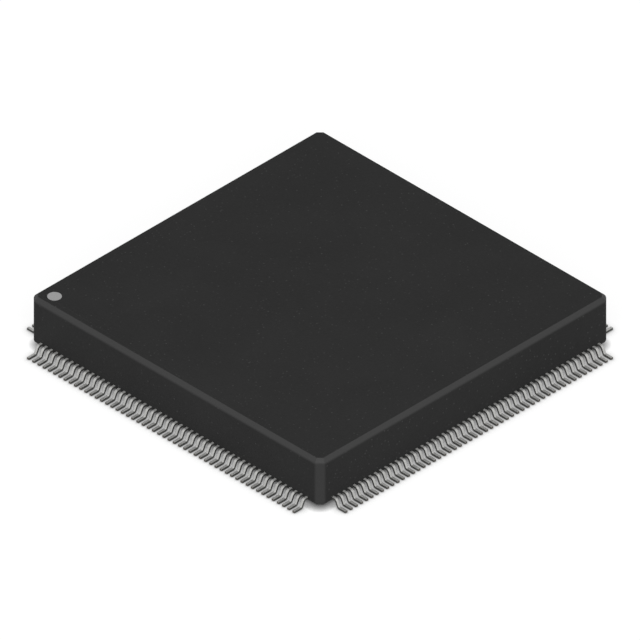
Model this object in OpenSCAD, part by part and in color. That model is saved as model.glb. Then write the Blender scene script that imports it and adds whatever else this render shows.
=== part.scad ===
// Quad flat pack: a square moulded chip package with gull wing leads on all four sides.
// The origin is the middle of the package on the board surface, with +Z up and pin 1 at -X -Y.
// Each side is drawn once, running outward along +X, and turned to its place.

/* [Moulded body] */
// Side of the square moulded body
body_size = 28; // [27:0.1:30]
// Height of the moulded body from its underside to its top
body_thick = 3.9; // [2.8:0.1:4.5]
// Gap between the underside and the board
standoff = 0.2; // [0.1:0.01:0.4]
// Leg of the 45 degree bevel round the top and bottom edges
edge_bevel = 0.3; // [0.1:0.01:0.35]
// Radius that blends each bevel into the upright side
edge_round = 0.3; // [0.1:0.01:0.5]
// Leg of the 45 degree cut at each upright corner
corner_cut = 0.5; // [0.4:0.01:0.7]
// Radius on both upright edges of each corner cut
corner_round = 0.3; // [0.1:0.01:0.5]

/* [Pin one dot and ejector marks] */
// Radius of the printed dot beside pin 1
dot_radius = 0.5; // [0.3:0.01:0.8]
// Thickness of the dot, which lies level with the top in a shallow dimple
dot_depth = 0.04; // [0.02:0.005:0.1]
// Distance from the middle of the dot to the left side of the body
dot_inset_left = 1.35; // [1:0.05:3]
// Distance from the middle of the dot to the front side of the body
dot_inset_front = 1.15; // [1:0.05:3]
// Radius of each round mark that an ejector pin left on the underside
ejector_radius = 1; // [0.5:0.05:1.5]
// Depth of each ejector mark
ejector_depth = 0.05; // [0.02:0.01:0.1]
// Distance from the middle of the body to each ejector mark, along both sides
ejector_reach = 9; // [7:0.1:11]

/* [Leads outside the body] */
// Number of leads on each side
leads_per_side = 52; // [16:1:52]
// Distance from one lead to the next
lead_pitch = 0.5; // [0.4:0.01:0.5]
// Width of a lead outside the body
lead_width = 0.22; // [0.15:0.01:0.27]
// Thickness of the copper strip that the leads and the die pad are stamped from
strip_thick = 0.18; // [0.12:0.01:0.2]
// Height of the middle of the strip above the underside of the body
exit_height = 0.435; // [0.42:0.005:0.8]
// Distance from the side of the body to the tip of each lead
lead_reach = 1.3; // [1.2:0.01:1.6]
// Length of the flat shoulder, from the body to the corner where the lead turns down
shoulder_length = 0.33; // [0.25:0.01:0.45]
// Length of the foot, from the corner where it turns flat to the tip
foot_length = 0.72; // [0.5:0.01:0.8]
// Inside radius of both bends
bend_radius = 0.11; // [0.05:0.01:0.15]

/* [Leads inside the body] */
// Straight length of each lead inside the body, before it turns to the die
anchor_length = 0.5; // [0.3:0.01:0.7]
// Distance from the middle of the package to the inner tips of the leads
inner_tip_reach = 5.9; // [5.7:0.05:7]
// Distance from one inner tip to the next
inner_pitch = 0.2; // [0.18:0.005:0.21]
// Width of each inner tip
inner_width = 0.1; // [0.08:0.005:0.12]

/* [Lead tape] */
// Distance from the middle of the package to the inner edge of the tape that keeps the leads in line
tape_reach = 8; // [7.5:0.1:9]
// Width of the tape
tape_width = 1.2; // [0.8:0.1:1.5]
// Thickness of the tape
tape_thick = 0.07; // [0.05:0.01:0.1]

/* [Die pad] */
// Side of the square pad that carries the die
pad_size = 10.4; // [9.5:0.1:10.8]
// How far the pad lies below the leads
pad_downset = 0.2; // [0.1:0.01:0.25]
// Width of the four bars that tie the pad to the corners
tie_bar_width = 0.3; // [0.2:0.01:0.4]
// Flat length of each tie bar beside the pad, before it rises
tie_bar_flat = 0.6; // [0.4:0.05:1]
// Length over which each tie bar rises to the level of the leads
tie_bar_rise = 0.2; // [0.15:0.05:0.5]
// Depth of the tie bar ends below the corner faces
tie_bar_setback = 0.2; // [0.1:0.05:0.5]
// Least gap between a tie bar and the leads beside it
tie_bar_gap = 0.1; // [0.05:0.01:0.15]

/* [Die] */
// Side of the square silicon die
die_size = 8.4; // [7:0.1:9]
// Thickness of the die
die_thick = 0.3; // [0.2:0.01:0.4]
// Thickness of the adhesive under the die
attach_thick = 0.03; // [0.02:0.005:0.05]
// How far the adhesive spreads beyond each side of the die
attach_spread = 0.15; // [0.05:0.05:0.3]

/* [Bond wires] */
// Width and height of each wire
wire_thick = 0.03; // [0.02:0.002:0.035]
// Radius of the ball that joins each wire to the die
ball_radius = 0.035; // [0.025:0.001:0.04]
// Height of that ball
ball_height = 0.02; // [0.01:0.005:0.03]
// Distance from the edge of the die to the middle of each ball
ball_inset = 0.12; // [0.08:0.01:0.3]
// Distance from each end of a row of balls to the corner of the die
ball_row_inset = 0.4; // [0.2:0.05:0.6]
// Height of the wire loop above the die
loop_height = 0.2; // [0.15:0.01:0.3]
// Distance from the ball to the top of the loop
loop_crest = 0.35; // [0.2:0.01:0.5]
// Distance from the inner tip of a lead to the end of its wire
stitch_inset = 0.25; // [0.15:0.01:0.4]
// Length of the flattened end of each wire on its lead
stitch_length = 0.06; // [0.04:0.01:0.1]

/* [Hidden] */
$fn = 48;
// Number of straight steps in each bend
arc_steps = 5;
// How far a cut runs on past the face that it opens
past = 0.1;
side_names = ["front", "right", "back", "left"];
groups_per_side = 4;
groups = [for (side = [0 : 3]) for (part = [0 : groups_per_side - 1]) [side, part]];

body_half = body_size / 2;
corner_reach = (body_size - corner_cut) / sqrt(2);
body_top = standoff + body_thick;
strip_middle = standoff + exit_height;
strip_top = strip_middle + strip_thick / 2;
pad_middle = strip_middle - pad_downset;
pad_top = pad_middle + strip_thick / 2;
die_bottom = pad_top + attach_thick;
die_top = die_bottom + die_thick;
ball_top = die_top + ball_height;
loop_top = die_top + loop_height;
fan_start = body_half - anchor_length;
bend_middle_radius = bend_radius + strip_thick / 2;

function lead_group_name(g) = str("leads_", side_names[g[0]], "_", g[1] + 1);
function wire_group_name(g) = str("bond_wires_", side_names[g[0]], "_", g[1] + 1);

// Numbers of the leads in one group, counted along its side from 0
function group_members(g) =
    [ceil(g[1] * leads_per_side / groups_per_side)
        : ceil((g[1] + 1) * leads_per_side / groups_per_side) - 1];

// How many steps lead i is from the middle of its side
function step_from_middle(i) = i - (leads_per_side - 1) / 2;

function turned(v, angle) =
    [v.x * cos(angle) - v.y * sin(angle), v.x * sin(angle) + v.y * cos(angle)];

function reversed(points) = [for (i = [len(points) - 1 : -1 : 0]) points[i]];

// Arc that rounds corner b of the path a, b, c with a radius, moved sideways to the left by shift
function bend(a, b, c, radius, shift = 0) =
    let (
        to_a = (a - b) / norm(a - b),
        to_c = (c - b) / norm(c - b),
        half_angle = acos(to_a * to_c) / 2,
        centre = b + (to_a + to_c) / norm(to_a + to_c) * radius / sin(half_angle),
        start = b + to_a * radius / tan(half_angle) - centre,
        way = sign(cross(b - a, c - b)),
        moved = start * (radius - way * shift) / radius
    )
    [for (i = [0 : arc_steps]) centre + turned(moved, way * (180 - 2 * half_angle) * i / arc_steps)];

// Strip of the given thickness along the path a, b, c, d, bent with round corners at b and c
function bent_strip(a, b, c, d, thick, radius) =
    let (half = thick / 2, up = [0, half])
    concat(
        [a + up], bend(a, b, c, radius, half), bend(b, c, d, radius, half), [d + up],
        [d - up], reversed(bend(b, c, d, radius, -half)), reversed(bend(a, b, c, radius, -half)),
        [a - up]
    );

// Plan of the body: a square with its corners cut at 45 degrees and rounded
function body_plan() =
    let (h = body_half, c = body_half - corner_cut)
    [for (quarter = [0 : 3]) for (p = concat(
        bend([h, 0], [h, c], [c, h], corner_round),
        bend([h, c], [c, h], [0, h], corner_round)
    )) turned(p, 90 * quarter)];

// What is cut away along a top edge at a distance from the middle: round blend, bevel and the space above.
// The first face of the blend runs on past the side, so that no sliver is left there.
function edge_waste(reach) =
    let (
        side = [reach, -edge_bevel],
        top = [reach - edge_bevel, 0],
        blend = bend([reach, -body_thick], side, top, edge_round)
    )
    concat([2 * blend[0] - blend[1]], blend, [top + [-past, past], [reach + past, past]]);

module body_block() {
    difference() {
        linear_extrude(body_thick) polygon(body_plan());
        for (turn = [0 : 45 : 315])
            rotate(turn) {
                reach = turn % 90 == 0 ? body_half : corner_reach;
                translate([0, 0, body_thick]) edge_cutter(reach);
                mirror([0, 0, 1]) edge_cutter(reach);
            }
    }
}

module edge_cutter(reach) {
    rotate([90, 0, 0])
        linear_extrude(body_size + 2 * past, center = true) polygon(edge_waste(reach));
}

// Turns what is drawn outward along +X to one of the four sides, 0 being the front
module on_side(side) {
    rotate(90 * (side - 1)) children();
}

// Plan of a lead inside the body: from its narrow inner tip it fans out and leaves straight
function inner_lead_plan(i, end) =
    let (
        y_in = step_from_middle(i) * inner_pitch,
        y_out = step_from_middle(i) * lead_pitch
    )
    [
        [inner_tip_reach, y_in - inner_width / 2],
        [fan_start, y_out - lead_width / 2],
        [end, y_out - lead_width / 2],
        [end, y_out + lead_width / 2],
        [fan_start, y_out + lead_width / 2],
        [inner_tip_reach, y_in + inner_width / 2]
    ];

module inner_lead(i, end) {
    translate([0, 0, strip_middle])
        linear_extrude(strip_thick, center = true) polygon(inner_lead_plan(i, end));
}

// Side view of a lead outside the body: shoulder, bend, slope, bend and foot
module outer_lead(i) {
    foot_middle = strip_thick / 2;
    translate([0, step_from_middle(i) * lead_pitch, 0])
        rotate([90, 0, 0])
            linear_extrude(lead_width, center = true)
                polygon(bent_strip(
                    [body_half, strip_middle],
                    [body_half + shoulder_length, strip_middle],
                    [body_half + lead_reach - foot_length, foot_middle],
                    [body_half + lead_reach, foot_middle],
                    strip_thick, bend_middle_radius
                ));
}

module lead_group(g) {
    color([0.72, 0.72, 0.70])
        on_side(g[0])
            for (i = group_members(g))
                union() {
                    inner_lead(i, body_half);
                    outer_lead(i);
                }
}

// Square ring of film stuck across all the inner leads and the tie bars
module lead_tape() {
    color([0.68, 0.40, 0.14])
        translate([0, 0, strip_top])
            linear_extrude(tape_thick)
                difference() {
                    square(2 * (tape_reach + tape_width), center = true);
                    square(2 * tape_reach, center = true);
                }
}

// Gold wire from its ball on the die, up over the loop and down to its stitch on lead i
module bond_wire(i) {
    ball = [die_size / 2 - ball_inset,
        step_from_middle(i) * (die_size - 2 * ball_row_inset) / (leads_per_side - 1)];
    along = stitch_inset / (fan_start - inner_tip_reach);
    stitch = [inner_tip_reach + stitch_inset,
        step_from_middle(i) * (inner_pitch + along * (lead_pitch - inner_pitch))];
    run = norm(stitch - ball);
    half = wire_thick / 2;
    turn_height = ball_top + loop_height / 2;
    translate([ball.x, ball.y, 0])
        rotate(atan2(stitch.y - ball.y, stitch.x - ball.x)) {
            translate([0, 0, die_top]) cylinder(r = ball_radius, h = ball_height);
            rotate([90, 0, 0])
                linear_extrude(wire_thick, center = true)
                    polygon([
                        [-half, ball_top], [half, ball_top],
                        [half, turn_height], [loop_crest, loop_top - wire_thick],
                        [run - stitch_length, strip_top], [run, strip_top],
                        [loop_crest, loop_top], [-half, turn_height + wire_thick]
                    ]);
        }
}

module wire_group(g) {
    color([0.86, 0.70, 0.30])
        on_side(g[0])
            for (i = group_members(g)) bond_wire(i);
}

module die_pad() {
    color([0.74, 0.52, 0.38]) {
        translate([0, 0, pad_middle]) cube([pad_size, pad_size, strip_thick], center = true);
        for (corner = [45 : 90 : 315]) rotate(corner) tie_bar();
    }
}

// Where a tie bar ends along the diagonal of its corner: a little below the corner face, or sooner
// where the last lead of the side leaves it too little room
function tie_bar_end() =
    let (
        plan = inner_lead_plan(leads_per_side - 1, body_half),
        knee = plan[4],
        tip = plan[5],
        knee_room = (knee.x - knee.y) / sqrt(2),
        tip_room = (tip.x - tip.y) / sqrt(2),
        least_room = tie_bar_width / 2 + tie_bar_gap,
        tight = tip + (knee - tip) * (tip_room - least_room) / (tip_room - knee_room)
    )
    knee_room < least_room ? (tight.x + tight.y) / sqrt(2) : corner_reach - tie_bar_setback;

// Bar from the pad up to the level of the leads and out to a corner
module tie_bar() {
    rise_start = pad_size / sqrt(2) + tie_bar_flat;
    rotate([90, 0, 0])
        linear_extrude(tie_bar_width, center = true)
            polygon(bent_strip(
                [pad_size / sqrt(2) - tie_bar_width, pad_middle],
                [rise_start, pad_middle],
                [rise_start + tie_bar_rise, strip_middle],
                [tie_bar_end(), strip_middle],
                strip_thick, bend_middle_radius
            ));
}

module die_attach() {
    spread_size = die_size + 2 * attach_spread;
    color([0.62, 0.62, 0.60])
        translate([-spread_size / 2, -spread_size / 2, pad_top])
            cube([spread_size, spread_size, attach_thick]);
}

module die() {
    color([0.36, 0.38, 0.44])
        translate([-die_size / 2, -die_size / 2, die_bottom])
            cube([die_size, die_size, die_thick]);
}

module pin_one_dot() {
    color([0.63, 0.63, 0.63]) dot_space(dot_depth);
}

// Round disc under the top face beside pin 1, as high as asked
module dot_space(height) {
    translate([dot_inset_left - body_half, dot_inset_front - body_half, body_top - dot_depth])
        cylinder(r = dot_radius, h = height);
}

module ejector_marks() {
    for (x = [-1, 1], y = [-1, 1])
        translate([x * ejector_reach, y * ejector_reach, standoff - past])
            cylinder(r = ejector_radius, h = past + ejector_depth);
}

// The moulding fills everything round the metal and the die
module mould_body() {
    color([0.184, 0.184, 0.184])
        difference() {
            translate([0, 0, standoff]) body_block();
            for (side = [0 : 3]) on_side(side)
                for (i = [0 : leads_per_side - 1]) {
                    inner_lead(i, body_half + past);
                    bond_wire(i);
                }
            lead_tape();
            die_pad();
            die_attach();
            die();
            dot_space(dot_depth + past);
            ejector_marks();
        }
}

mould_body();
pin_one_dot();
lead_tape();
die_pad();
die_attach();
die();
for (g = groups) lead_group(g);
for (g = groups) wire_group(g);
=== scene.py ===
# Looks of a square moulded chip package with gull wing leads on all four sides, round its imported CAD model.
# Everything is in metres in the frame of the CAD: +Z up, the board surface at z = 0, pin 1 at -X -Y.
import math

import bmesh
import bpy
from mathutils import Matrix, Vector


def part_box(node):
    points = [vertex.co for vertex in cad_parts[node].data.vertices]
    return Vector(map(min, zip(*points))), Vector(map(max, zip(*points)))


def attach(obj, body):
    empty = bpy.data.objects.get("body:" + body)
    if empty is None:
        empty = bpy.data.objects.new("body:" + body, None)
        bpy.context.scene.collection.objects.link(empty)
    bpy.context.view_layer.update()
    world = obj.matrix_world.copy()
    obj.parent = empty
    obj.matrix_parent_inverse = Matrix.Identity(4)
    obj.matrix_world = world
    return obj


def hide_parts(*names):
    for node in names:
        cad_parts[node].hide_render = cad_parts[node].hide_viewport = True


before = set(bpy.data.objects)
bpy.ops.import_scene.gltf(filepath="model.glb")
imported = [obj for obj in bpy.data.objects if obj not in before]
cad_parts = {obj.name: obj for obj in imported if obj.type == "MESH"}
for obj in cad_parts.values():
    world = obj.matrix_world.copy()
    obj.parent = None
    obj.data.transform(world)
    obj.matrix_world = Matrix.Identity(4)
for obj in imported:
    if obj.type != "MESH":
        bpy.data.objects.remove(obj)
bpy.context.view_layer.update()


# Leads
# 208 strips stamped from one sheet of copper alloy and plated with tin, each one piece from its inner tip
# beside the die to its foot on the board. After the moulding their outer ends are cut free and bent in one
# stroke to a shoulder, a slope and a foot, which gives every lead the same gull wing shape.
MM = 0.001
LEAD_PITCH = 0.5 * MM
LEAD_WIDTH = 0.22 * MM
STRIP_THICK = 0.18 * MM
INNER_PITCH = 0.2 * MM
INNER_WIDTH = 0.1 * MM
ANCHOR_LENGTH = 0.5 * MM
SHOULDER_LENGTH = 0.33 * MM
FOOT_LENGTH = 0.72 * MM
BEND_MIDDLE_RADIUS = 0.2 * MM
DIE_SIDE_ROUND = 0.04 * MM
BURR_SIDE_ROUND = 0.018 * MM
TOE_CHAMFER = 0.012 * MM
LEADS_PER_SIDE = 52
LEADS_PER_NODE = 13
NODES_PER_SIDE = LEADS_PER_SIDE // LEADS_PER_NODE
SIDES = ("front", "right", "back", "left")
BEND_STEPS = 8
EDGE_STEPS = 3
SHARP_ANGLE = math.radians(40)

body_low, body_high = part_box("mould_body")
lead_low, lead_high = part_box("leads_right_1")
strip_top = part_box("lead_tape")[0].z
shoulder_middle = strip_top - STRIP_THICK / 2
lead_route = [
    Vector((lead_low.x, shoulder_middle)),
    Vector((body_high.x + SHOULDER_LENGTH, shoulder_middle)),
    Vector((lead_high.x - FOOT_LENGTH, STRIP_THICK / 2)),
    Vector((lead_high.x, STRIP_THICK / 2)),
]


def linear(colour):
    """Linear RGBA of an sRGB hex colour."""
    parts = [int(colour[i : i + 2], 16) / 255 for i in (1, 3, 5)]
    return [p / 12.92 if p <= 0.04045 else ((p + 0.055) / 1.055) ** 2.4 for p in parts] + [1]


def add(tree, kind, inputs, **settings):
    """Adds a node with its settings, and gives each named or numbered input a value or a link."""
    node = tree.nodes.new(kind)
    for name, value in settings.items():
        setattr(node, name, value)
    for name, value in inputs.items():
        if isinstance(value, bpy.types.NodeSocket):
            tree.links.new(value, node.inputs[name])
        else:
            node.inputs[name].default_value = value
    return node


def blank_material(name):
    """A material with nothing but its output, and its node tree."""
    material = bpy.data.materials.new(name)
    material.use_nodes = True
    material.node_tree.nodes.clear()
    return material, material.node_tree


def rounded_path(corners, radii, steps):
    """Points and headings along a path whose inner corners are rounded, seen in one plane."""
    headings = [math.atan2((b - a).y, (b - a).x) for a, b in zip(corners, corners[1:])]
    path = [(corners[0], headings[0])]
    for corner, radius, into, out in zip(corners[1:], radii, headings, headings[1:]):
        turn = math.remainder(out - into, math.tau)
        side = math.copysign(radius, turn)
        start = corner - Vector((math.cos(into), math.sin(into))) * radius * math.tan(abs(turn) / 2)
        centre = start + side * Vector((-math.sin(into), math.cos(into)))
        for k in range(steps + 1):
            heading = into + turn * k / steps
            path.append((centre - side * Vector((-math.sin(heading), math.cos(heading))), heading))
    path.append((corners[-1], headings[-1]))
    return path


def strip_section(width, thick):
    """Points and headings of the strip's section, more rounded on the side where the punch came in."""
    w, t = width / 2, thick / 2
    corners = [Vector(p) for p in ((0, t), (-w, t), (-w, -t), (w, -t), (w, t), (0, t))]
    radii = [DIE_SIDE_ROUND, BURR_SIDE_ROUND, BURR_SIDE_ROUND, DIE_SIDE_ROUND]
    return rounded_path(corners, radii, EDGE_STEPS)[:-1]


def lead_rings(i):
    """Rings of points along lead i, with the side drawn outward along +X."""
    step = i - (LEADS_PER_SIDE - 1) / 2
    fan_end = Vector((body_high.x - ANCHOR_LENGTH, shoulder_middle))
    route = rounded_path(lead_route, [BEND_MIDDLE_RADIUS] * 2, BEND_STEPS)
    toe, heading = route[-1]
    row = step * LEAD_PITCH
    cut = 2 * TOE_CHAMFER
    # Each station has the strip's middle and heading, its place across the row, its width and its thickness.
    stations = [
        (route[0][0], 0, step * INNER_PITCH, INNER_WIDTH, STRIP_THICK),
        (fan_end, 0, row, LEAD_WIDTH, STRIP_THICK),
        *[(p, h, row, LEAD_WIDTH, STRIP_THICK) for p, h in route[1:-1]],
        (toe - Vector((TOE_CHAMFER, 0)), heading, row, LEAD_WIDTH, STRIP_THICK),
        (toe, heading, row, LEAD_WIDTH - cut, STRIP_THICK - cut),
    ]
    rings = []
    for middle, turn, across, width, thick in stations:
        rings.append([
            Vector((middle.x - math.sin(turn) * p.y, across + p.x, middle.y + math.cos(turn) * p.y))
            for p, _ in strip_section(width, thick)
        ])
    return rings


def skin(mesh, rings, cap_ends=True):
    """Joins each ring of points to the next with faces, closes both ends if asked, and gives the loops."""
    loops = [[mesh.verts.new(p) for p in ring] for ring in rings]
    for low, high in zip(loops, loops[1:]):
        for k in range(len(low)):
            mesh.faces.new((low[k - 1], low[k], high[k], high[k - 1]))
    if cap_ends:
        mesh.faces.new(loops[0])
        mesh.faces.new(loops[-1])
    return loops


def finished_piece(name, mesh, material):
    """Object made from a bmesh, with flat faces that stay flat and round ones that shade smoothly."""
    bmesh.ops.recalc_face_normals(mesh, faces=mesh.faces)
    data = bpy.data.meshes.new(name)
    mesh.to_mesh(data)
    mesh.free()
    data.polygons.foreach_set("use_smooth", [True] * len(data.polygons))
    data.set_sharp_from_angle(angle=SHARP_ANGLE)
    data.materials.append(material)
    piece = bpy.data.objects.new(name, data)
    bpy.context.scene.collection.objects.link(piece)
    weighted = piece.modifiers.new("flat_faces_stay_flat", "WEIGHTED_NORMAL")
    weighted.keep_sharp = True
    return piece


# Matte tin, electroplated about 10 microns thick on the stamped and rolled strip: a soft grey satin with a
# fine grain, and duller or brighter patches from lead to lead. Its grain of a few microns is drawn ten times
# as coarse, so that it shows. The sheared sides are rough, and their darker grey is partly that roughness and
# partly painted shade, the shade that falls between the leads. The toes are cut after the plating, so their
# end faces are bare and dull.
TIN_GREY = "#c4c4c2"
TIN_DULL = "#a0a09e"
# Darker grey of the side faces, which is rough shear and painted shade between the leads.
TIN_SHEARED_AND_SHADED = "#4c4c4a"
BARE_CUT = "#5c5853"
TIN_GRAIN = 0.03 * MM
TIN_RELIEF = 0.002 * MM
TIN_PATCH = 0.6 * MM


def matte_tin_plating():
    material, tree = blank_material("matte_tin_plating")
    place = add(tree, "ShaderNodeTexCoord", {}).outputs["Object"]
    patch = add(tree, "ShaderNodeTexNoise", {"Vector": place, "Scale": 1 / TIN_PATCH, "Detail": 3})
    grain = add(tree, "ShaderNodeTexNoise", {"Vector": place, "Scale": 1 / TIN_GRAIN, "Detail": 2})
    tone = add(
        tree, "ShaderNodeMix",
        {"Factor": patch.outputs["Fac"], 6: linear(TIN_DULL), 7: linear(TIN_GREY)},
        data_type="RGBA",
    )
    # Side faces darker, from rough shear and painted shade between the leads.
    sheared_and_shaded_sides = add(tree, "ShaderNodeAttribute", {}, attribute_name="sheared_and_shaded")
    plated = add(
        tree, "ShaderNodeMix",
        {"Factor": sheared_and_shaded_sides.outputs["Fac"], 6: tone.outputs[2], 7: linear(TIN_SHEARED_AND_SHADED)},
        data_type="RGBA",
    )
    cut = add(tree, "ShaderNodeAttribute", {}, attribute_name="trimmed")
    colour = add(
        tree, "ShaderNodeMix",
        {"Factor": cut.outputs["Fac"], 6: plated.outputs[2], 7: linear(BARE_CUT)},
        data_type="RGBA",
    )
    rough = add(
        tree, "ShaderNodeMapRange",
        {"Value": patch.outputs["Fac"], "From Min": 0.3, "From Max": 0.7, "To Min": 0.5, "To Max": 0.6},
    )
    bump = add(
        tree, "ShaderNodeBump",
        {"Height": grain.outputs["Fac"], "Strength": 0.5, "Distance": TIN_RELIEF},
    )
    shader = add(tree, "ShaderNodeBsdfPrincipled", {
        "Base Color": colour.outputs[2],
        "Roughness": rough.outputs[0],
        "Normal": bump.outputs[0],
        "Metallic": 0.65,
    })
    add(tree, "ShaderNodeOutputMaterial", {"Surface": shader.outputs[0]})
    return material


def lead_row(side, part, material):
    """One group of leads on one side, which stands for the CAD node of the same place."""
    node = f"leads_{SIDES[side]}_{part + 1}"
    mesh = bmesh.new()
    sheared_and_shaded = mesh.verts.layers.float.new("sheared_and_shaded")
    trimmed = mesh.verts.layers.float.new("trimmed")
    # Vertical sides are marked for the darker grey, which is rough shear and painted shade between the leads.
    slants = [math.sin(heading) ** 2 for _, heading in strip_section(LEAD_WIDTH, STRIP_THICK)]
    for i in range(part * LEADS_PER_NODE, (part + 1) * LEADS_PER_NODE):
        loops = skin(mesh, lead_rings(i))
        for loop in loops:
            for vert, slant in zip(loop, slants):
                vert[sheared_and_shaded] = slant
        for vert in loops[-1]:
            vert[trimmed] = 1
    mesh.transform(Matrix.Rotation(math.tau / 4 * (side - 1), 4, "Z"))
    piece = finished_piece(f"formed_{node}", mesh, material)
    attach(piece, "root")
    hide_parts(node)


tin = matte_tin_plating()
for side in range(len(SIDES)):
    for part in range(NODES_PER_SIDE):
        lead_row(side, part, tin)


# Lead tape
# A square ring of amber polyimide film, stuck across all the leads and the tie bars so that they keep their
# places until the moulding is round them.
POLYIMIDE_AMBER = "#b0702a"
POLYIMIDE_DEEP = "#96591c"
ADHESIVE_STREAK = 0.8 * MM


def polyimide_film():
    material, tree = blank_material("amber_polyimide_film")
    place = add(tree, "ShaderNodeTexCoord", {}).outputs["Object"]
    streak = add(
        tree, "ShaderNodeTexNoise",
        {"Vector": place, "Scale": 1 / ADHESIVE_STREAK, "Detail": 3, "Distortion": 1.0},
    )
    tone = add(
        tree, "ShaderNodeMix",
        {"Factor": streak.outputs["Fac"], 6: linear(POLYIMIDE_DEEP), 7: linear(POLYIMIDE_AMBER)},
        data_type="RGBA",
    )
    shader = add(tree, "ShaderNodeBsdfPrincipled", {
        "Base Color": tone.outputs[2],
        "Roughness": 0.3,
        "IOR": 1.7,
    })
    add(tree, "ShaderNodeOutputMaterial", {"Surface": shader.outputs[0]})
    return material


def refinish(node, material):
    """Gives a CAD node that stays as it is a better material."""
    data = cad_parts[node].data
    data.materials.clear()
    data.materials.append(material)


refinish("lead_tape", polyimide_film())


# Die pad
# The plate that carries the die, stamped from the same copper alloy as the leads, with four bars that tie
# it to the corners. It isn't plated, so its rolling lines show.
COPPER_PALE = "#c98f73"
COPPER_DARK = "#b57a5e"
ROLLING_LINE = 0.05 * MM
ROLLING_STRETCH = 40


def rolled_copper():
    material, tree = blank_material("rolled_copper_alloy")
    place = add(tree, "ShaderNodeTexCoord", {}).outputs["Object"]
    along = add(tree, "ShaderNodeMapping", {"Vector": place, "Scale": (1 / ROLLING_STRETCH, 1, 1)})
    lines = add(
        tree, "ShaderNodeTexNoise",
        {"Vector": along.outputs[0], "Scale": 1 / ROLLING_LINE, "Detail": 4},
    )
    tone = add(
        tree, "ShaderNodeMix",
        {"Factor": lines.outputs["Fac"], 6: linear(COPPER_DARK), 7: linear(COPPER_PALE)},
        data_type="RGBA",
    )
    shader = add(tree, "ShaderNodeBsdfPrincipled", {
        "Base Color": tone.outputs[2],
        "Roughness": 0.35,
        "Metallic": 1.0,
    })
    add(tree, "ShaderNodeOutputMaterial", {"Surface": shader.outputs[0]})
    return material


refinish("die_pad", rolled_copper())


# Die attach
# Epoxy filled with silver flakes, spread under the die and cured in an oven. It leads the die's heat and its
# ground into the pad. The flakes, about 10 microns across, are drawn three times as coarse.
SILVER_PASTE = "#9a9a96"
SILVER_FLAKE = "#b8b8b4"
FLAKE_SIZE = 0.03 * MM


def silver_filled_epoxy():
    material, tree = blank_material("silver_filled_epoxy")
    place = add(tree, "ShaderNodeTexCoord", {}).outputs["Object"]
    flakes = add(tree, "ShaderNodeTexVoronoi", {"Vector": place, "Scale": 1 / FLAKE_SIZE})
    tone = add(
        tree, "ShaderNodeMix",
        {"Factor": flakes.outputs["Distance"], 6: linear(SILVER_FLAKE), 7: linear(SILVER_PASTE)},
        data_type="RGBA",
    )
    shader = add(tree, "ShaderNodeBsdfPrincipled", {
        "Base Color": tone.outputs[2],
        "Roughness": 0.55,
        "Metallic": 0.5,
    })
    add(tree, "ShaderNodeOutputMaterial", {"Surface": shader.outputs[0]})
    return material


refinish("die_attach", silver_filled_epoxy())


# Die
# A square of silicon, sawn from its wafer, with the circuit in thin layers on its top. It is polished, and
# blocks of the circuit show as bluer and greyer squares.
SILICON_GREY = "#5c5f6b"
SILICON_BLUE = "#4d566e"
CIRCUIT_BLOCK = 0.7 * MM


def polished_silicon():
    material, tree = blank_material("polished_silicon")
    place = add(tree, "ShaderNodeTexCoord", {}).outputs["Object"]
    blocks = add(
        tree, "ShaderNodeTexVoronoi",
        {"Vector": place, "Scale": 1 / CIRCUIT_BLOCK, "Randomness": 0.5},
        distance="CHEBYCHEV",
    )
    share = add(tree, "ShaderNodeSeparateColor", {"Color": blocks.outputs["Color"]})
    tone = add(
        tree, "ShaderNodeMix",
        {"Factor": share.outputs[0], 6: linear(SILICON_GREY), 7: linear(SILICON_BLUE)},
        data_type="RGBA",
    )
    shader = add(tree, "ShaderNodeBsdfPrincipled", {
        "Base Color": tone.outputs[2],
        "Roughness": 0.12,
        "Metallic": 0.8,
    })
    add(tree, "ShaderNodeOutputMaterial", {"Surface": shader.outputs[0]})
    return material


refinish("die", polished_silicon())


# Bond wires
# Gold wire 30 microns thick, melted to a ball on the die, looped over and pressed flat on the inner tip of
# each lead.
GOLD_PALE = "#ecc983"
GOLD_DEEP = "#dcb264"
DRAWING_MARK = 0.1 * MM


def drawn_gold():
    material, tree = blank_material("drawn_gold_wire")
    place = add(tree, "ShaderNodeTexCoord", {}).outputs["Object"]
    marks = add(tree, "ShaderNodeTexNoise", {"Vector": place, "Scale": 1 / DRAWING_MARK, "Detail": 2})
    tone = add(
        tree, "ShaderNodeMix",
        {"Factor": marks.outputs["Fac"], 6: linear(GOLD_DEEP), 7: linear(GOLD_PALE)},
        data_type="RGBA",
    )
    shader = add(tree, "ShaderNodeBsdfPrincipled", {
        "Base Color": tone.outputs[2],
        "Roughness": 0.25,
        "Metallic": 1.0,
    })
    add(tree, "ShaderNodeOutputMaterial", {"Surface": shader.outputs[0]})
    return material


gold = drawn_gold()
for side_name in SIDES:
    for part in range(NODES_PER_SIDE):
        refinish(f"bond_wires_{side_name}_{part + 1}", gold)


# Moulded body
# One block of black epoxy, filled with fused silica powder and transfer moulded round the leads and the
# die in a steel cavity. Its edges are bevelled and its corners cut, so that it leaves the cavity cleanly.
EDGE_BEVEL = 0.3 * MM
SIDE_ROUND = 0.3 * MM
CREST_ROUND = 0.05 * MM
CORNER_CUT = 0.5 * MM
LEAST_CORNER_ROUND = 0.05 * MM
EJECTOR_RADIUS = 1 * MM
EJECTOR_REACH = 9 * MM
EJECTOR_DEPTH = 0.05 * MM
LIP_ROUND = 0.03 * MM
LIP_SHARE = 0.6
# Share of burnish and painted highlight on the cut corners.
CORNER_BURNISH_AND_HIGHLIGHT = 0.55
MOUTH_POINTS = 64
LIP_STEPS = 2
ROUND_STEPS = 6

dot_low, dot_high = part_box("pin_one_dot")


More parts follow.
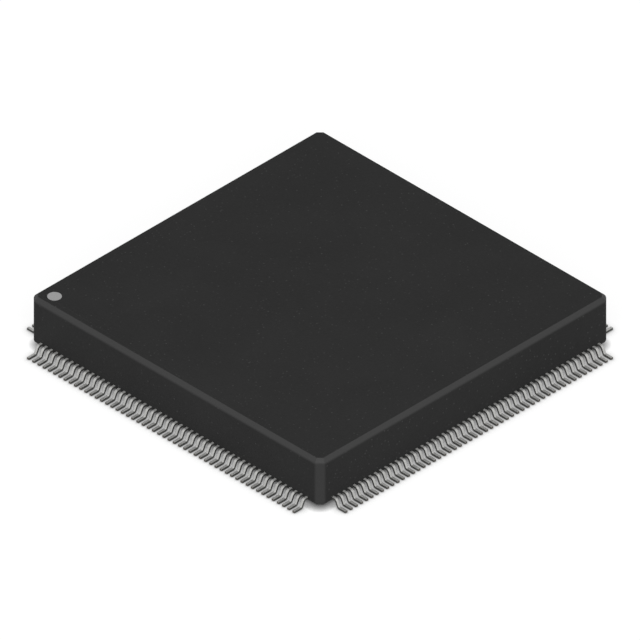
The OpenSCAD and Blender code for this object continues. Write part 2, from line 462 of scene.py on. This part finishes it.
def body_outline(inset):
    """Points and headings of the body's plan, set in by some distance: a square with cut corners."""
    half = body_high.x - inset
    # The cut's own face is set in by the same distance.
    near = half - CORNER_CUT + inset * (2 - math.sqrt(2))
    back = [(half, near), (near, half), (-near, half), (-half, near)]
    front = [(-x, -y) for x, y in back]
    corners = [Vector(c) for c in [(half, 0), *back, *front, (half, 0)]]
    radius = max(SIDE_ROUND - inset, LEAST_CORNER_ROUND)
    return rounded_path(corners, [radius] * len(back + front), ROUND_STEPS)[:-1]


def body_profile():
    """Section of the body's edges from its top to its underside: inset and height, with headings."""
    top, bottom = body_high.z, body_low.z
    corners = [
        (2 * EDGE_BEVEL, top), (EDGE_BEVEL, top), (0, top - EDGE_BEVEL),
        (0, bottom + EDGE_BEVEL), (EDGE_BEVEL, bottom), (2 * EDGE_BEVEL, bottom),
    ]
    radii = [CREST_ROUND, SIDE_ROUND, SIDE_ROUND, CREST_ROUND]
    return rounded_path([Vector(c) for c in corners], radii, ROUND_STEPS)[1:-1]


def dimple(mesh, middle, radius, depth, up):
    """Sinks a round dimple with a rounded lip into a level face, and gives the edges of its mouth."""
    section = []
    for k in range(LIP_STEPS + 1):
        fall = math.pi / 2 * k / LIP_STEPS
        section.append((radius + LIP_ROUND * (1 - math.sin(fall)), depth * LIP_SHARE * (1 - math.cos(fall))))
    section += [(radius, depth), (radius / 2, depth)]
    turns = [math.tau * k / MOUTH_POINTS for k in range(MOUTH_POINTS)]
    rings = []
    for reach, drop in section:
        sunk = Vector((0, 0, -up * drop))
        rings.append([middle + sunk + Vector((reach * math.cos(a), reach * math.sin(a), 0)) for a in turns])
    loops = skin(mesh, rings, cap_ends=False)
    mesh.faces.new(loops[-1])
    return [mesh.edges.get((a, b)) for a, b in zip(loops[0], loops[0][1:] + loops[0][:1])]


def fill_level_face(mesh, outer, holes, up):
    """Fills a level face between its outer loop and the mouths of its dimples."""
    edges = [mesh.edges.get((a, b)) for a, b in zip(outer, outer[1:] + outer[:1])]
    for hole in holes:
        edges += hole
    bmesh.ops.triangle_fill(mesh, use_beauty=True, edges=edges, normal=(0, 0, up))


def body_mesh():
    """The body with its dimples. Its bevels are marked for full burnish and painted highlight, its cut
    corners in part.
    """
    profile = body_profile()
    mesh = bmesh.new()
    burnish_and_highlight = mesh.verts.layers.float.new("burnish_and_highlight")
    outlines = [body_outline(p.x) for p, _ in profile]
    rings = [[Vector((q.x, q.y, p.y)) for q, _ in outline] for (p, _), outline in zip(profile, outlines)]
    loops = skin(mesh, rings, cap_ends=False)
    for loop, (_, fall), outline in zip(loops, profile, outlines):
        for vert, (_, heading) in zip(loop, outline):
            # Bevels and cut corners take a paler grey, which is burnish and a painted highlight.
            facet = CORNER_BURNISH_AND_HIGHLIGHT * math.sin(2 * heading) ** 2 * math.sin(fall) ** 2
            vert[burnish_and_highlight] = max(math.sin(2 * fall) ** 2, facet)
    dot_middle = (dot_low + dot_high) / 2
    dot_middle.z = body_high.z
    mouth = dimple(mesh, dot_middle, (dot_high.x - dot_low.x) / 2, dot_high.z - dot_low.z, 1)
    marks = []
    for x in (-EJECTOR_REACH, EJECTOR_REACH):
        for y in (-EJECTOR_REACH, EJECTOR_REACH):
            marks.append(dimple(mesh, Vector((x, y, body_low.z)), EJECTOR_RADIUS, EJECTOR_DEPTH, -1))
    fill_level_face(mesh, loops[0], [mouth], 1)
    fill_level_face(mesh, loops[-1], marks, -1)
    return mesh


# Epoxy moulding compound, moulded against spark eroded steel: near black and matte, with the fine pits of
# that steel, faint cloudy flow marks and a scatter of paler silica grains. The pits are drawn about four
# times as coarse as real ones, so that they show. The bevels and cut corners rub against trays and tubes,
# which burnishes them. Their paler grey is partly that burnish and partly a painted highlight on these
# slanted faces.
COMPOUND_BLACK = "#1f1f1f"
COMPOUND_PALE = "#2e2e2e"
SILICA_GREY = "#505050"
# Paler grey of bevels and cut corners, partly burnish and partly painted highlight.
BURNISHED_HIGHLIGHT_GREY = "#3b3b3b"
EROSION_PIT = 0.16 * MM
PIT_DEPTH = 0.03 * MM
FLOW_MARK = 5 * MM
SILICA_SPACING = 0.28 * MM
SILICA_CORE = 0.034 * MM
SILICA_EDGE = 0.067 * MM
SILICA_STRENGTH = 0.5
SILICA_RARITY = 3


def moulding_compound():
    material, tree = blank_material("moulded_epoxy_compound")
    place = add(tree, "ShaderNodeTexCoord", {}).outputs["Object"]
    flow = add(
        tree, "ShaderNodeTexNoise",
        {"Vector": place, "Scale": 1 / FLOW_MARK, "Detail": 5, "Distortion": 0.6},
    )
    pits = add(
        tree, "ShaderNodeTexNoise",
        {"Vector": place, "Scale": 1 / EROSION_PIT, "Detail": 3, "Roughness": 0.6},
    )
    cells = add(tree, "ShaderNodeTexVoronoi", {"Vector": place, "Scale": 1 / SILICA_SPACING})
    grains = add(tree, "ShaderNodeMapRange", {
        "Value": cells.outputs["Distance"],
        "From Min": SILICA_EDGE / SILICA_SPACING,
        "From Max": SILICA_CORE / SILICA_SPACING,
        "To Max": SILICA_STRENGTH,
    })
    pick = add(tree, "ShaderNodeSeparateColor", {"Color": cells.outputs["Color"]})
    bright = add(tree, "ShaderNodeMath", {0: pick.outputs[0], 1: SILICA_RARITY}, operation="POWER")
    shown = add(tree, "ShaderNodeMath", {0: grains.outputs[0], 1: bright.outputs[0]}, operation="MULTIPLY")
    uneven = add(tree, "ShaderNodeMix", {"Factor": 0.5, 2: flow.outputs["Fac"], 3: pits.outputs["Fac"]})
    clouds = add(
        tree, "ShaderNodeMix",
        {"Factor": uneven.outputs[0], 6: linear(COMPOUND_BLACK), 7: linear(COMPOUND_PALE)},
        data_type="RGBA",
    )
    filled = add(
        tree, "ShaderNodeMix",
        {"Factor": shown.outputs[0], 6: clouds.outputs[2], 7: linear(SILICA_GREY)},
        data_type="RGBA",
    )
    edge = add(tree, "ShaderNodeAttribute", {}, attribute_name="burnish_and_highlight")
    # Paler grey on bevels and cut corners, which is burnish and a painted highlight.
    worn_and_highlit = add(
        tree, "ShaderNodeMix",
        {"Factor": edge.outputs["Fac"], 6: filled.outputs[2], 7: linear(BURNISHED_HIGHLIGHT_GREY)},
        data_type="RGBA",
    )
    rough = add(tree, "ShaderNodeMapRange", {"Value": edge.outputs["Fac"], "To Min": 0.75, "To Max": 0.5})
    bump = add(
        tree, "ShaderNodeBump",
        {"Height": pits.outputs["Fac"], "Strength": 0.6, "Distance": PIT_DEPTH},
    )
    shader = add(tree, "ShaderNodeBsdfPrincipled", {
        "Base Color": worn_and_highlit.outputs[2],
        "Roughness": rough.outputs[0],
        "IOR": 1.55,
        "Specular IOR Level": 0.08,
        "Normal": bump.outputs[0],
    })
    add(tree, "ShaderNodeOutputMaterial", {"Surface": shader.outputs[0]})
    return material


body = finished_piece("moulded_body", body_mesh(), moulding_compound())
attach(body, "root")
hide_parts("mould_body")


# Pin one dot
# A spot of light grey epoxy ink, printed level into a shallow dimple beside pin 1 and baked hard. It covers
# a little unevenly, as pad printing does.
INK_PALE = "#a2a2a2"
INK_THIN = "#949494"
INK_MOTTLE = 0.12 * MM


def printing_ink():
    material, tree = blank_material("printed_epoxy_ink")
    place = add(tree, "ShaderNodeTexCoord", {}).outputs["Object"]
    cover = add(tree, "ShaderNodeTexNoise", {"Vector": place, "Scale": 1 / INK_MOTTLE, "Detail": 3})
    tone = add(
        tree, "ShaderNodeMix",
        {"Factor": cover.outputs["Fac"], 6: linear(INK_THIN), 7: linear(INK_PALE)},
        data_type="RGBA",
    )
    shader = add(tree, "ShaderNodeBsdfPrincipled", {
        "Base Color": tone.outputs[2],
        "Roughness": 0.6,
        "Specular IOR Level": 0.2,
    })
    add(tree, "ShaderNodeOutputMaterial", {"Surface": shader.outputs[0]})
    return material


refinish("pin_one_dot", printing_ink())


# Camera, floor and light
# The view is a true isometric one, with no perspective. The floor is a white sheet, clear when it is seen
# from below, and it lets the pale light of the room through. One large soft lamp stands beside the camera.
VIEW_BACK = Vector((1, -1, 1)).normalized()
VIEW_AIM = Vector((0, 0, 2.02 * MM))
VIEW_WIDTH = 43.47 * MM
CAMERA_DISTANCE = 100 * MM
CONTACT_SHADE = 0.6 * MM
CONTACT_DEPTH = 1.8
CONTACT_SAMPLES = 8
PAPER_WHITE = "#dadada"
PURE_WHITE = "#ffffff"
GLOW_SHARE = 0.75
GLOW_LEVEL = 1.15
FLOOR_REACH = 2
ROOM_LEVEL = 0.5


def camera():
    """Looks at the middle of the part from above its near corner, in parallel projection."""
    data = bpy.data.cameras.new("camera")
    data.type = "ORTHO"
    data.ortho_scale = VIEW_WIDTH
    data.clip_start = CAMERA_DISTANCE / 100
    data.clip_end = CAMERA_DISTANCE * 100
    thing = bpy.data.objects.new("camera", data)
    thing.location = VIEW_AIM + VIEW_BACK * CAMERA_DISTANCE
    thing.rotation_euler = VIEW_BACK.to_track_quat("Z", "Y").to_euler()
    bpy.context.scene.collection.objects.link(thing)
    bpy.context.scene.camera = thing


def soft_lamp(name, direction, distance, size, level):
    """Square soft lamp that lights a matte face turned to it as level times the face's own colour."""
    data = bpy.data.lights.new(name, "AREA")
    data.size = size
    data.energy = level * math.pi**2 * distance**2
    thing = bpy.data.objects.new(name, data)
    thing.location = VIEW_AIM + direction.normalized() * distance
    thing.rotation_euler = direction.to_track_quat("Z", "Y").to_euler()
    bpy.context.scene.collection.objects.link(thing)


def background_rays(tree):
    """1 for a ray that shows the background: seen by the camera, in a reflection or through glass."""
    path = add(tree, "ShaderNodeLightPath", {})
    mirrored = add(
        tree, "ShaderNodeMath",
        {0: path.outputs["Is Camera Ray"], 1: path.outputs["Is Glossy Ray"]},
        operation="MAXIMUM",
    )
    through = add(
        tree, "ShaderNodeMath",
        {0: mirrored.outputs[0], 1: path.outputs["Is Transmission Ray"]},
        operation="MAXIMUM",
    )
    return through.outputs[0]


def white_paper():
    """A sheet that looks white and shaded close to the part from above, and clear from below."""
    material, tree = blank_material("white_paper")
    paper = add(tree, "ShaderNodeBsdfDiffuse", {"Color": linear(PAPER_WHITE)})
    nearby = add(tree, "ShaderNodeAmbientOcclusion", {"Distance": CONTACT_SHADE}, samples=CONTACT_SAMPLES)
    shade = add(tree, "ShaderNodeMath", {0: nearby.outputs["AO"], 1: CONTACT_DEPTH}, operation="POWER")
    level = add(tree, "ShaderNodeMath", {0: shade.outputs[0], 1: GLOW_LEVEL}, operation="MULTIPLY")
    glow = add(tree, "ShaderNodeEmission", {"Color": linear(PURE_WHITE), "Strength": level.outputs[0]})
    share = add(tree, "ShaderNodeMath", {0: background_rays(tree), 1: GLOW_SHARE}, operation="MULTIPLY")
    lit = add(tree, "ShaderNodeMixShader", {0: share.outputs[0], 1: paper.outputs[0], 2: glow.outputs[0]})
    side = add(tree, "ShaderNodeNewGeometry", {})
    clear = add(tree, "ShaderNodeBsdfTransparent", {})
    sheet = add(
        tree, "ShaderNodeMixShader",
        {0: side.outputs["Backfacing"], 1: lit.outputs[0], 2: clear.outputs[0]},
    )
    add(tree, "ShaderNodeOutputMaterial", {"Surface": sheet.outputs[0]})
    return material


def floor():
    """One large triangle of white paper, which doesn't keep the room's light from the underside."""
    mesh = bmesh.new()
    bmesh.ops.create_circle(mesh, cap_ends=True, radius=FLOOR_REACH, segments=3)
    data = bpy.data.meshes.new("floor")
    mesh.to_mesh(data)
    mesh.free()
    data.materials.append(white_paper())
    thing = bpy.data.objects.new("floor", data)
    bpy.context.scene.collection.objects.link(thing)
    thing.visible_diffuse = False


def soft_white_room():
    """Soft light from all round, from walls that look white themselves."""
    world = bpy.data.worlds.new("soft_white_room")
    bpy.context.scene.world = world
    world.use_nodes = True
    tree = world.node_tree
    tree.nodes.clear()
    strength = add(
        tree, "ShaderNodeMapRange",
        {"Value": background_rays(tree), "To Min": ROOM_LEVEL, "To Max": 1.0},
    )
    sky = add(tree, "ShaderNodeBackground", {"Color": linear(PURE_WHITE), "Strength": strength.outputs[0]})
    add(tree, "ShaderNodeOutputWorld", {"Surface": sky.outputs[0]})


camera()
floor()
soft_white_room()
soft_lamp("lamp_beside_camera", VIEW_BACK, distance=1, size=0.7, level=0.85)
bpy.context.scene.view_settings.view_transform = "Standard"
